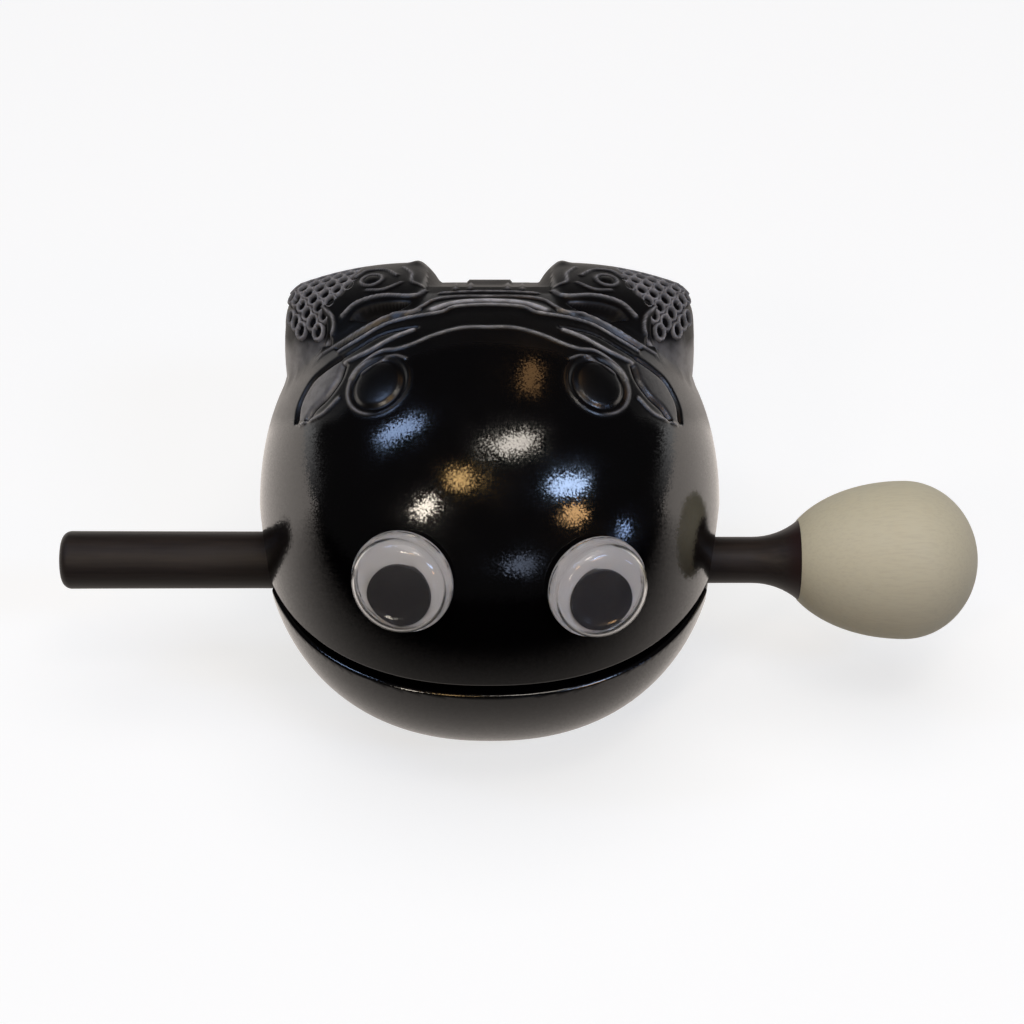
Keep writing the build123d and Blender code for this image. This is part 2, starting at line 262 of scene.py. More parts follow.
def black_lacquer(colours):
    """Brushed black lacquer over carved wood."""
    # A deep dark mirror whose fine grains break the lamps into specks. The edges of the carving are painted grey in
    # patches: rubbed wear and a painted sheen that stands in for their reflections. Its hollows and rough-cut places
    # are dull. Real grains are too fine to show, so these are coarser.
    material, add = new_material("black_lacquer_on_carved_wood")
    place = add("TexCoord").outputs["Object"]
    wear_and_sheen = add("Attribute", attribute_name="wear_and_sheen").outputs["Fac"]
    dull = add("Attribute", attribute_name="dull").outputs["Fac"]
    patch = add("TexNoise", {"Vector": place, "Scale": per_metre(1.8), "Detail": 2.0})
    sheen_share = add("MapRange", {"Value": patch, "From Min": 0.38, "From Max": 0.58, "To Min": 0.65, "To Max": 1.0})
    showing = add("Math", {0: wear_and_sheen, 1: sheen_share}, operation="MULTIPLY")
    tint = add("Mix", {
        "Factor": showing, "A": (*colours.lacquer, 1.0), "B": (*colours.wear_and_sheen, 1.0),
    }, data_type="RGBA")
    wave = add("TexNoise", {"Vector": place, "Scale": per_metre(7.0), "Detail": 1.0})
    polish = add("MapRange", {"Value": wave, "From Min": 0.3, "From Max": 0.7, "To Min": 0.09, "To Max": 0.15})
    rough = add("Math", {0: dull, 1: 0.42, 2: polish}, operation="MULTIPLY_ADD")
    mirror = add("MapRange", {"Value": dull, "From Min": 0.5, "To Min": 0.5, "To Max": 0.1})
    grain = add("TexVoronoi", {"Vector": place, "Scale": per_metre(0.24)})
    lean = add("VectorMath", {0: grain.outputs["Color"], 1: (0.5, 0.5, 0.5)}, operation="SUBTRACT")
    smooth = add("NewGeometry").outputs["Normal"]
    uneven = add("VectorMath", {0: lean, 1: (0.052, 0.052, 0.052), 2: smooth}, operation="MULTIPLY_ADD")
    normal = add("VectorMath", {0: uneven}, operation="NORMALIZE")
    shader = add("BsdfPrincipled", {
        "Base Color": tint.outputs[2], "Roughness": rough, "IOR": 1.8,
        "Specular IOR Level": mirror, "Normal": normal,
    })
    add("OutputMaterial", {"Surface": shader})
    return material


def dark_stained_wood(colours):
    """Turned hardwood with a dark stain and a thin wax."""
    # Nearly black brown with faint straight grain along the stick, reddish at the end of the collar.
    material, add = new_material("dark_stained_turned_wood")
    place = add("TexCoord").outputs["Object"]
    along = add("Mapping", {"Vector": place, "Scale": (0.05, 1.0, 1.0)})
    grain = add("TexNoise", {"Vector": along, "Scale": per_metre(0.7), "Detail": 4.0, "Roughness": 0.6})
    ramp = add("MapRange", {"Value": grain, "From Min": 0.35, "From Max": 0.7})
    tint = add("Mix", {
        "Factor": ramp, "A": (*colours.stain_dark, 1.0), "B": (*colours.stain_light, 1.0),
    }, data_type="RGBA")
    collar_end = add("MapRange", {
        "Value": add("SeparateXYZ", {0: place}).outputs["X"],
        "From Min": 60.4 * MM, "From Max": 62.8 * MM,
    })
    ended = add("Mix", {"Factor": collar_end, "A": tint.outputs[2], "B": (*colours.stain_end, 1.0)}, data_type="RGBA")
    relief = add("Bump", {"Height": grain, "Strength": 0.15, "Distance": 0.06 * MM})
    shader = add("BsdfPrincipled", {"Base Color": ended.outputs[2], "Roughness": 0.5, "IOR": 1.5, "Normal": relief})
    add("OutputMaterial", {"Surface": shader})
    return material


def pale_turned_wood(colours):
    """Close-grained pale wood, turned and sanded, without varnish."""
    # A matt cream with faint flecks along the axis and a few soft lathe rings.
    material, add = new_material("pale_turned_wood")
    place = add("TexCoord").outputs["Object"]
    along = add("Mapping", {"Vector": place, "Scale": (0.12, 1.0, 1.0)})
    fleck = add("TexNoise", {"Vector": along, "Scale": per_metre(0.5), "Detail": 3.0, "Roughness": 0.6})
    ring = add("Mapping", {"Vector": place, "Scale": (1.0, 0.02, 0.02)})
    turning = add("TexNoise", {"Vector": ring, "Scale": per_metre(1.6), "Detail": 2.0})
    ramp = add("MapRange", {"Value": fleck, "From Min": 0.45, "From Max": 0.75})
    tint = add("Mix", {
        "Factor": ramp, "A": (*colours.head_pale, 1.0), "B": (*colours.head_grain, 1.0),
    }, data_type="RGBA")
    relief = add("Bump", {"Height": turning, "Strength": 0.25, "Distance": 0.1 * MM})
    shader = add("BsdfPrincipled", {"Base Color": tint.outputs[2], "Roughness": 0.55, "IOR": 1.45, "Normal": relief})
    add("OutputMaterial", {"Surface": shader})
    return material


def clear_plastic(name, roughness):
    """Clear moulded plastic that lets the lamps through to what it covers."""
    # Nearly invisible but for its rim and the lamps on its shoulder.
    material, add = new_material(name)
    glass = add("BsdfPrincipled", {
        "Base Color": (1.0, 1.0, 1.0, 1.0), "Roughness": roughness, "IOR": 1.49, "Transmission Weight": 1.0,
    })
    shadow = add("LightPath").outputs["Is Shadow Ray"]
    mix = add("MixShader", {0: shadow, 1: glass, 2: add("BsdfTransparent")})
    add("OutputMaterial", {"Surface": mix})
    return material


def moulded_plastic(name, tone, roughness, grit):
    """Opaque moulded plastic with a fine tooth from its mould."""
    # A soft, slightly uneven sheen. The mould's real tooth is too fine to show, so it is drawn coarser.
    material, add = new_material(name)
    place = add("TexCoord").outputs["Object"]
    tooth = add("TexNoise", {"Vector": place, "Scale": per_metre(grit), "Detail": 2.0})
    dull = add("MapRange", {"Value": tooth, "To Min": roughness - 0.08, "To Max": roughness + 0.08})
    relief = add("Bump", {"Height": tooth, "Strength": 0.2, "Distance": 0.03 * MM})
    shader = add("BsdfPrincipled", {"Base Color": (*tone, 1.0), "Roughness": dull, "IOR": 1.5, "Normal": relief})
    add("OutputMaterial", {"Surface": shader})
    return material


def to_world(points):
    """Face coordinates (across, up, out) from the centre of the ball as frame coordinates, in millimetres."""
    return points @ FACE_AXES + CENTRE


def new_object(name, data):
    """An object in the scene with that data."""
    made = bpy.data.objects.new(name, data)
    bpy.context.scene.collection.objects.link(made)
    return made


def make_mesh(name, points, faces):
    """A mesh object from points in millimetres, smooth but for its sharp edges."""
    mesh = bpy.data.meshes.new(name)
    mesh.from_pydata((np.asarray(points) * MM).tolist(), [], faces)
    mesh.validate()
    mesh.shade_smooth()
    mesh.set_sharp_from_angle(angle=SMOOTH_ANGLE)
    return new_object(name, mesh)


def set_values(piece, name, values):
    """Gives the points of a piece a named value each."""
    piece.data.attributes.new(name, "FLOAT", "POINT").data.foreach_set("value", np.asarray(values, np.float32))


def smooth_step(value):
    """0 below 0, 1 above 1, with soft ends."""
    share = np.clip(value, 0.0, 1.0)
    return share * share * (3.0 - 2.0 * share)


def soft_min(first, second, blend):
    """The smaller of two gaps, with the corner between them rounded."""
    share = np.maximum(blend - np.abs(first - second), 0.0) / blend
    return np.minimum(first, second) - share * share * blend / 4


def on_ball(across, up):
    """A point of the front of the ball as (across, up, out)."""
    section = RADIUS * (1.0 - (abs(across) / HALF_WIDTH) ** FULLNESS) ** (1.0 / FULLNESS)
    return np.array((across, up, math.sqrt(section ** 2 - up ** 2)))


def smooth_line(points, spacing=0.25):
    """A smooth line through points, sampled about every quarter of a millimetre."""
    points = np.asarray(points, float)
    ends = np.vstack((2 * points[0] - points[1], points, 2 * points[-1] - points[-2]))
    samples = []
    for a, b, c, d in zip(ends, ends[1:], ends[2:], ends[3:]):
        count = max(2, int(np.linalg.norm(c - b) / spacing))
        t = np.linspace(0, 1, count, endpoint=False)[:, None]
        samples.append(
            0.5 * (2 * b + (c - a) * t + (2 * a - 5 * b + 4 * c - d) * t ** 2 + (3 * b - a - 3 * c + d) * t ** 3)
        )
    return np.vstack(samples + [points[-1:]])


def fold(points):
    """Points with the left half and the back of the handle turned onto the right front."""
    along = points @ CREST
    ahead = np.abs(points @ BEHIND)
    return np.column_stack((np.abs(points[:, 0]), np.outer(along, CREST)[:, 1:] - np.outer(ahead, BEHIND)[:, 1:]))


def distance_to(points, line, reach=4.0, batch=4000):
    """Distance of each point to a line of samples, or the reach where it is further."""
    low, high = line.min(0) - reach, line.max(0) + reach
    near = np.flatnonzero(np.all((points > low) & (points < high), axis=1))
    result = np.full(len(points), reach)
    for part in np.array_split(near, max(1, len(near) // batch)):
        gaps = np.linalg.norm(points[part][:, None, :] - line[None, :, :], axis=2)
        result[part] = np.minimum(gaps.min(axis=1), reach) if len(part) else result[part]
    return result


def fish_middle(across):
    """Middle of a fish's round section, along the crest from the ball's centre."""
    share = np.clip((across - HEAD_AT) / (TAIL_AT - HEAD_AT), 0, None)
    return HEAD_MIDDLE + share * (TAIL_MIDDLE - HEAD_MIDDLE)


def fish_radius(across):
    """Radius of a fish's round section, from its nose to its rounded tail end."""
    share = np.clip((across - HEAD_AT) / (TAIL_AT - HEAD_AT), 0, None)
    nose = np.sqrt(np.clip(1 - (np.minimum(across - HEAD_AT, 0) / NOSE_LENGTH) ** 2, 0, 1))
    body = HEAD_CREST - share ** 2 * CREST_FALL - fish_middle(across)
    past = np.clip((across - TAIL_AT + TAIL_ROUND) / TAIL_ROUND, 0, 1)
    return body * nose - TAIL_ROUND * (1 - np.sqrt(1 - past ** 2))


def ball_gap(points):
    """Rough distance of points outside the plain ball."""
    around = np.hypot(points[..., 1], points[..., 2])
    share = (np.abs(points[..., 0]) / HALF_WIDTH) ** FULLNESS + (around / RADIUS) ** FULLNESS
    return (share ** (1 / FULLNESS) - 1) * RADIUS


def wood_gap(points):
    """Rough distance of points outside the block, before its fine carving."""
    across = np.abs(points[..., 0])
    height, behind = points @ CREST, points @ BEHIND
    ball = np.maximum(ball_gap(points), np.minimum(SADDLE_HALF_WIDTH - across, height - SADDLE_HEIGHT))
    fish = np.hypot(height - fish_middle(across), behind) - fish_radius(across)
    fish = np.maximum(fish, np.maximum(across - TAIL_AT, HEAD_AT - NOSE_LENGTH - across))
    bar = np.maximum(np.hypot(height - BAR_MIDDLE, behind) - BAR_RADIUS, across - BAR_HALF_WIDTH)
    return soft_min(soft_min(ball, fish, JOIN_ROUND), bar, JOIN_ROUND)


def reach_of_wood(starts, directions, far=64.0, near=5.0, step=0.4, halvings=9):
    """Distance along each ray to the outermost wood."""
    reach = np.full(len(directions), near)
    active = np.arange(len(directions))
    for distance in np.arange(far, near, -step):
        gap = wood_gap(starts[active] + directions[active] * distance)
        reach[active[gap < 0]] = distance
        active = active[gap >= 0]
    low, high = reach, reach + step
    for _ in range(halvings):
        middle = (low + high) / 2
        inside = wood_gap(starts + directions * middle[:, None]) < 0
        low, high = np.where(inside, middle, low), np.where(inside, high, middle)
    return (low + high) / 2


def on_wood(face_points):
    """Points given as (across, up) on the front of the block, as (across, up, out)."""
    flat = np.column_stack((np.asarray(face_points, float), np.zeros(len(face_points))))
    ways = np.tile((0.0, 0.0, 1.0), (len(flat), 1))
    return flat + ways * reach_of_wood(flat, ways)[:, None]


def inside_outline(points, outline):
    """True for points of the front within a closed outline of (across, up) corners."""
    across, up = points[:, 0], points[:, 1]
    result = np.zeros(len(points), bool)
    for (ax, au), (bx, bu) in zip(outline, outline[1:] + outline[:1]):
        if au != bu:
            result ^= ((au > up) != (bu > up)) & (across < (bx - ax) * (up - au) / (bu - au) + ax)
    return result & (points[:, 2] > 0)


def bump(distance, half_width):
    """A soft ridge of height 1 across a line at that distance."""
    return np.exp(-(distance / half_width) ** 2)


def boss(distance, radius):
    """A round boss of height 1 about a point at that distance."""
    return np.sqrt(np.maximum(1 - (distance / radius) ** 2, 0))


def gap_to(points, line):
    """Distance of each point to a smooth line on the wood."""
    return distance_to(points, smooth_line(on_wood(line)))


def carve_face(points, sizes):
    """Brow, leaf fins, carved eyes: height over the plain wood in millimetres, painted wear-and-sheen and dull
    shares.
    """
    sided = np.column_stack((np.abs(points[:, 0]), points[:, 1:]))
    rise, wear_and_sheen = np.zeros((2, len(points)))
    dull = BROW_DULL * smooth_step((BROW_DULL_OUT - points[:, 2]) / BROW_FADE_OUT)
    dull *= smooth_step((points[:, 1] - BROW_DULL_UP) / BROW_FADE_UP)
    for line, tall, half_width, pale in RIDGES:
        gap = gap_to(sided, line)
        rise = np.maximum(rise, sizes.ridge_rise / MM * tall * bump(gap, half_width))
        # Painted sheen with rubbed wear: a pale line along the crest of each ridge
        wear_and_sheen = np.maximum(wear_and_sheen, pale * bump(gap, SHEEN_WIDTH * half_width))
    for line, deep, half_width in GROOVES:
        groove = bump(gap_to(sided, line), half_width)
        rise -= sizes.groove_depth / MM * deep * groove
        dull = np.maximum(dull, groove)
    leaf = inside_outline(sided, LEAF_OUTSIDE + LEAF_INSIDE[::-1])
    # Painted sheen on the leaf fins, much paler on the left fin than on the right, as the light falls
    sheen_share = np.where(points[:, 0] < 0, LEFT_LEAF_SHEEN, RIGHT_LEAF_SHEEN)
    wear_and_sheen = np.maximum(wear_and_sheen, sheen_share * leaf) * (1 - smooth_step(2 * dull - 1))

    eye = distance_to(sided, on_wood([CARVED_EYE]), reach=12.0)
    radius = sizes.eye_radius / MM
    rise += EYE_BOSS * boss(eye, EYE_BOSS_AT * radius)
    rise += EYE_RING * bump(eye - radius, EYE_RING_HALF) - EYE_MOAT * bump(eye - EYE_MOAT_AT * radius, EYE_MOAT_HALF)
    # Painted sheen on the outer side of each carved eye's ring
    outer = smooth_step((sided[:, 0] - CARVED_EYE[0]) / EYE_FADE)
    wear_and_sheen = np.maximum(wear_and_sheen, EYE_SHEEN * outer * bump(eye - radius, EYE_RING_SHEEN_HALF))
    return rise, wear_and_sheen, np.maximum(dull, EYE_DULL * smooth_step(radius + EYE_DULL_PAST - eye))


def carve_fish(points, sizes):
    """Handle and its two fish: height over the plain wood in millimetres, painted wear-and-sheen and dull shares."""
    folded = fold(points)
    rise, wear_and_sheen = np.zeros((2, len(points)))
    proud = smooth_step(ball_gap(folded) - PROUD_FROM)
    saddle = smooth_step(points @ CREST - SADDLE_HEIGHT + SADDLE_FADE)
    saddle *= np.abs(points[:, 0]) < SADDLE_HALF_WIDTH
    scaled = smooth_step((folded[:, 1] - SCALES_DOWN_TO + SCALED_PAST) / SCALED_FADE)
    dull = np.maximum((FLANK_DULL + (HANDLE_DULL - FLANK_DULL) * scaled) * proud, saddle)
    for outline, deep in HOLLOWS:
        edge = smooth_line(on_wood(outline + outline[:1]))
        within = inside_outline(folded, [tuple(corner) for corner in edge[:, :2]])
        hollow = np.where(within, smooth_step(distance_to(folded, edge) / HOLLOW_EDGE), 0)
        rise -= sizes.mouth_depth / MM * deep * hollow
        dull = np.maximum(dull, smooth_step(3 * hollow))
    for line, tall, half_width, pale in FOLDS:
        gap = gap_to(folded, line)
        rise += sizes.ridge_rise / MM * tall * bump(gap, half_width)
        # Painted sheen with rubbed wear along the crest of each fold
        wear_and_sheen = np.maximum(wear_and_sheen, pale * bump(gap, SHEEN_WIDTH * half_width))
    radius = sizes.fish_eye_radius / MM
    eye = distance_to(folded, on_wood([FISH_EYE]), reach=6.0)
    rise += FISH_EYE_RING * bump(eye - radius, FISH_EYE_RING_HALF)
    rise += FISH_EYE_BOSS * boss(eye, FISH_EYE_BOSS_AT * radius)
    # Painted sheen on the ring of each fish eye
    wear_and_sheen = np.maximum(wear_and_sheen, EYE_SHEEN * bump(eye - radius, FISH_EYE_SHEEN_HALF))
    rise += NOSTRIL_RISE * bump(distance_to(folded, on_wood([NOSTRIL]), reach=6.0), NOSTRIL_HALF)
    edge_across, edge_up = np.array(SCALES_FROM).T
    past = folded[:, 0] - np.interp(folded[:, 1], edge_up, edge_across)
    flank = smooth_step(past) * proud
    # Painted sheen: the smooth lower flank of each fish is painted a little grey
    wear_and_sheen = np.maximum(wear_and_sheen, FLANK_SHEEN * flank * (1 - scaled))
    return rise - SCALE_BED * flank, wear_and_sheen, dull


# The polar net of the block: its finest rows and columns, those of a tile, and the sizes of cells in a tile
ROWS, COLUMNS, TILE = 600, 900, 12
FINE_CELL, PLAIN_CELL, POLE_CELL = (1, 1), (4, 6), (4, TILE)
POLE_ANGLE = 20.0

# Where the net is finest: degrees from the face's axis, from and to, then degrees to either side of the top
FINE_ZONES = {
    "brow and leaf fins": (41.0, 60.0, 0.0, 70.0),
    "handle": (60.0, 92.0, 0.0, 46.0),
    "carved eyes": (28.0, 41.0, 24.0, 62.0),
    "back of the fish heads": (92.0, 120.0, 14.0, 44.0),
}


def body_cells():
    """Cells of a polar net about the face's axis, as (first row, last row, first column, last column)."""
    cells = []
    for top in range(0, ROWS, TILE):
        angle = 180.0 * (top + TILE / 2) / ROWS
        for left in range(0, COLUMNS, TILE):
            side = 360.0 * (left + TILE / 2) / COLUMNS
            side = min(side, 360.0 - side)
            if any(a < angle < b and c <= side < d for a, b, c, d in FINE_ZONES.values()):
                high, wide = FINE_CELL
            elif POLE_ANGLE < angle < 180.0 - POLE_ANGLE:
                high, wide = PLAIN_CELL
            else:
                high, wide = POLE_CELL
            for row in range(top, top + TILE, high):
                for column in range(left, left + TILE, wide):
                    cells.append((row, row + high, column, column + wide))
    return cells


def net_of_cells(cells):
    """Corner keys and faces of the cells, where a cell takes up the corners of smaller neighbours."""
    def key(row, column):
        return (row, 0) if row in (0, ROWS) else (row, column % COLUMNS)

    corners = {}
    for top, bottom, left, right in cells:
        for row, column in ((top, left), (top, right), (bottom, right), (bottom, left)):
            corners.setdefault(key(row, column), len(corners))
    faces = []
    for top, bottom, left, right in cells:
        loop = [key(top, column) for column in range(left, right)]
        loop += [key(row, right) for row in range(top, bottom)]
        loop += [key(bottom, column) for column in range(right, left, -1)]
        loop += [key(row, left) for row in range(bottom, top, -1)]
        kept = [corners[k] for k in loop if k in corners]
        faces.append([v for i, v in enumerate(kept) if v != kept[i - 1]])
    return np.array(list(corners)), faces


def plain_block(sizes):
    """The carved outside of the block as one closed mesh, before it is hollowed."""
    keys, faces = net_of_cells(body_cells())
    tilt, bearing = np.pi * keys[:, 0] / ROWS, 2 * np.pi * keys[:, 1] / COLUMNS
    directions = np.column_stack((np.sin(tilt) * np.sin(bearing), np.sin(tilt) * np.cos(bearing), np.cos(tilt)))
    reach = reach_of_wood(np.zeros_like(directions), directions)
    points = directions * reach[:, None]
    face, fish = carve_face(points, sizes), carve_fish(points, sizes)
    points = to_world(directions * (reach + face[0] + fish[0])[:, None])
    points[:, 2] = np.minimum(points[:, 2], BODY_HIGH[2])
    block = make_mesh("carved_block", points, faces)
    set_values(block, "wear_and_sheen", np.maximum(face[1], fish[1]))
    set_values(block, "dull", np.maximum(face[2], fish[2]))
    return block


def ring_faces(rings, count, closed=True):
    """Faces between rings of that many points, with a flat face at each end."""
    faces = []
    for ring in range(rings - 1):
        for i in range(count):
            j = (i + 1) % count
            faces.append([ring * count + i, ring * count + j, (ring + 1) * count + j, (ring + 1) * count + i])
    if closed:
        faces.append(list(range(count))[::-1])
        faces.append([(rings - 1) * count + i for i in range(count)])
    return faces


# How finely the cutters are made, and how far they reach out of the wood or into the chamber, in millimetres
CHAMBER_RINGS, CHAMBER_POINTS, HOLE_POINTS, SLOT_STEPS, ROUND_STEPS = 49, 96, 72, 161, 6
HOLE_PAST, SLOT_PAST, SLOT_INTO = 6.0, 3.0, 5.0
SLOT_NEAR, SLOT_FAR, SLOT_HALVINGS = 30.0, 60.0, 40    # the search for the ball's surface along the slot


def chamber_cutter():
    """The sound chamber: the ball again, smaller by the walls, with a flat floor."""
    tilts = np.linspace(0, np.pi, CHAMBER_RINGS)
    bearings = np.linspace(0, 2 * np.pi, CHAMBER_POINTS, endpoint=False)
    points = []
    for tilt in tilts[1:-1]:
        for bearing in bearings:
            way = np.array((np.cos(tilt), np.sin(tilt) * np.sin(bearing), np.sin(tilt) * np.cos(bearing)))
            side, around = abs(way[0]) / (HALF_WIDTH - CHEEK_WALL), np.sin(tilt) / (RADIUS - WALL)
            reach = (side ** FULLNESS + around ** FULLNESS) ** (-1 / FULLNESS)
            if way[2] < 0:
                reach = min(reach, (CENTRE[2] - FLOOR_WALL) / -way[2])
            points.append(way * reach + CENTRE)
    return make_mesh("chamber_cutter", points, ring_faces(len(tilts) - 2, len(bearings)))


def hole_cutter(rim_round):
    """The bore through both cheeks, flared at its rims so that they come out rounded."""
    turns = np.linspace(0, 2 * np.pi, HOLE_POINTS, endpoint=False)
    bends = np.linspace(0, np.pi / 2, ROUND_STEPS)
    profile = [(rim_round * (np.sin(a) - 1), HOLE_RADIUS + rim_round * (1 - np.cos(a))) for a in bends]
    profile.append((HOLE_PAST, HOLE_RADIUS + rim_round))
    rings = []
    for side in (-1, 1):
        for lift, radius in (profile[::-1] if side < 0 else profile):
            height, ahead = radius * np.sin(turns), radius * np.cos(turns)
            cheek = HALF_WIDTH * (
                1 - (np.hypot(HOLE_FORWARD + ahead, height - SLOT_DROP) / RADIUS) ** FULLNESS
            ) ** (1 / FULLNESS)
            rings.append(np.column_stack((side * (cheek + lift), -HOLE_FORWARD - ahead, height - SLOT_DROP)))
    return make_mesh("hole_cutter", np.vstack(rings) + CENTRE, ring_faces(len(rings), HOLE_POINTS))


def slot_cutter(lip_round):
    """The mouth slot from hole to hole, flared at the surface so that its lips come out rounded."""
    ways = np.linspace(-SLOT_HALF_TURN, SLOT_HALF_TURN, SLOT_STEPS)
    low, high = np.full(len(ways), SLOT_NEAR), np.full(len(ways), SLOT_FAR)
    for _ in range(SLOT_HALVINGS):
        middle = (low + high) / 2
        off = np.hypot(middle * np.cos(ways), SLOT_DROP)
        gap = np.abs(middle * np.sin(ways) / HALF_WIDTH) ** FULLNESS + (off / RADIUS) ** FULLNESS - 1
        low, high = np.where(gap < 0, middle, low), np.where(gap < 0, high, middle)
    path = np.column_stack((low * np.sin(ways), -low * np.cos(ways)))
    along = np.gradient(path, axis=0)
    outward = np.column_stack((along[:, 1], -along[:, 0])) / np.linalg.norm(along, axis=1)[:, None]
    bends = np.linspace(np.pi / 2, 0, ROUND_STEPS)
    upper = [(-SLOT_PAST, SLOT_WIDTH / 2 + lip_round)]
    upper += [(lip_round * (1 - np.sin(a)), SLOT_WIDTH / 2 + lip_round * (1 - np.cos(a))) for a in bends]
    upper.append((WALL + SLOT_INTO, SLOT_WIDTH / 2))
    section = upper + [(depth, -half) for depth, half in upper[::-1]]
    points = []
    for (x, y), (nx, ny) in zip(path, outward):
        points += [(x - nx * depth, y - ny * depth, half - SLOT_DROP) for depth, half in section]
    return make_mesh("slot_cutter", np.array(points) + CENTRE, ring_faces(len(path), len(section)))


def foot_cutter():
    """Everything below the foot's flat."""
    wide = 2 * RADIUS
    corners = ((-wide, -wide), (wide, -wide), (wide, wide), (-wide, wide))
    points = [(x, y, z) for z in (-wide, 0.0) for x, y in corners]
    return make_mesh("foot_cutter", points, ring_faces(2, len(corners)))


def turn_outward(piece):
    """Faces of a closed mesh turned outwards."""
    shape = bmesh.new()
    shape.from_mesh(piece.data)
    bmesh.ops.recalc_face_normals(shape, faces=shape.faces)
    shape.to_mesh(piece.data)
    shape.free()


def apply_modifiers(piece):
    """Makes what the modifiers give into the piece's own mesh."""
    graph = bpy.context.evaluated_depsgraph_get()
    mesh, plain = bpy.data.meshes.new_from_object(piece.evaluated_get(graph), depsgraph=graph), piece.data
    if len(mesh.polygons) == 0:
        raise RuntimeError(f"{piece.name} came out empty")
    piece.modifiers.clear()
    piece.data = mesh
    bpy.data.meshes.remove(plain)


def remove(piece):
    """Deletes a helper object and its mesh."""
    mesh = piece.data
    bpy.data.objects.remove(piece)
    bpy.data.meshes.remove(mesh)


def cut(piece, cutters):
    """The piece with the cutters taken out of it. The cutters are deleted."""
    for cutter in cutters:
        turn_outward(cutter)
        modifier = piece.modifiers.new(cutter.name, "BOOLEAN")
        modifier.operation = "DIFFERENCE"
        modifier.solver = "MANIFOLD"
        modifier.object = cutter
    apply_modifiers(piece)
    for cutter in cutters:
        remove(cutter)


def dress(piece, name, material, body):
    """Gives a finished piece its name, finish, body and material slot."""
    piece.name = name
    piece.data.name = name
    piece.data.materials.clear()
    piece.data.materials.append(material)
    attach(piece, body)


class CarveBody(bpy.types.Operator):
    """Carve the lacquered block: ball, handle, brow, eyes, mouth slot, side holes and chamber"""

    bl_idname = "wooden_fish.carve_body"
    bl_label = "Carve the body"

    def execute(self, context):
        sizes = context.scene.fish_carving
        block = plain_block(sizes)
        cutters = [
            foot_cutter(), chamber_cutter(), hole_cutter(sizes.rim_round / MM), slot_cutter(sizes.lip_round / MM),
        ]
        cut(block, cutters)
        block.data.shade_smooth()
        block.data.set_sharp_from_angle(angle=SMOOTH_ANGLE)
        dress(block, "lacquered_body", black_lacquer(context.scene.fish_colours), "wooden_fish")
        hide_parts("carved_body")
        return {"FINISHED"}


def scale_places(pitch, row_height, tail_gap=1.0, nudge=0.1):
    """Places of the scales on the right fish, with the ways out of the wood and up to the crest."""
    edge_across, edge_up = np.array(SCALES_FROM).T
    places = []
    for column, across in enumerate(np.arange(edge_across.min(), TAIL_AT - tail_gap, pitch / 2)):
        middle, radius = fish_middle(across), fish_radius(across)
        middle_slope = (fish_middle(across + nudge) - fish_middle(across - nudge)) / (2 * nudge)
        radius_slope = (fish_radius(across + nudge) - fish_radius(across - nudge)) / (2 * nudge)
        count = int(math.pi * radius / (2 * row_height))
        for step in range(-count, count):
            turn = (2 * step + column % 2) * row_height / radius
            spoke = math.cos(turn) * CREST + math.sin(turn) * BEHIND
            point = across * ACROSS + middle * CREST + radius * spoke
            up = fold(point[None])[0, 1]
            hidden = ball_gap(point) < PROUD_FROM
            if hidden or up < SCALES_DOWN_TO or across < np.interp(up, edge_up, edge_across):
                continue
            outward = spoke - (CREST @ spoke * middle_slope + radius_slope) * ACROSS
            uphill = math.sin(turn) * CREST - math.cos(turn) * BEHIND
            places.append((point, outward / np.linalg.norm(outward), uphill if turn > 0 else -uphill))
    return np.array(places)


# Rings of a scale, from its pit to its foot: how wide, how deep as a share of the pit, and how pale it is painted
# (rubbed wear and a painted sheen on the rim)
SCALE_RINGS = ((0.6, 0.8, 0.0), (0.88, 0.15, 0.3), (1.04, 0.0, 0.5), (1.2, 0.12, 0.5), (1.45, 1.2, 0.0))
SCALE_POINTS = 10
SCALE_WIDE, SCALE_HIGH = 0.46, 0.53    # half sizes as shares of the distances between scales


def scale_shape(pitch, row_height, depth):
    """One fish scale: an oval pit, longer up the flank, in a rim painted pale (wear and sheen) that meets the next
    scales.
    """
    count = SCALE_POINTS
    half_wide, half_high = SCALE_WIDE * pitch, SCALE_HIGH * row_height
    points, wear_and_sheen = [(0.0, 0.0, -depth)], [0.0]
    for share, sunk, pale in SCALE_RINGS:
        for i in range(count):
            turn = 2 * math.pi * i / count
            points.append((half_high * share * math.cos(turn), half_wide * share * math.sin(turn), -depth * sunk))
            wear_and_sheen.append(pale)
    sides = ring_faces(len(SCALE_RINGS), count, closed=False)
    faces = [[0, 1 + i, 1 + (i + 1) % count] for i in range(count)]
    faces += [[corner + 1 for corner in face] for face in sides]
    faces.append(list(range(len(points) - count, len(points))))
    shape = make_mesh("scale_shape", points, faces)
    turn_outward(shape)
    set_values(shape, "wear_and_sheen", wear_and_sheen)
    set_values(shape, "dull", np.ones(len(points)))
    return shape


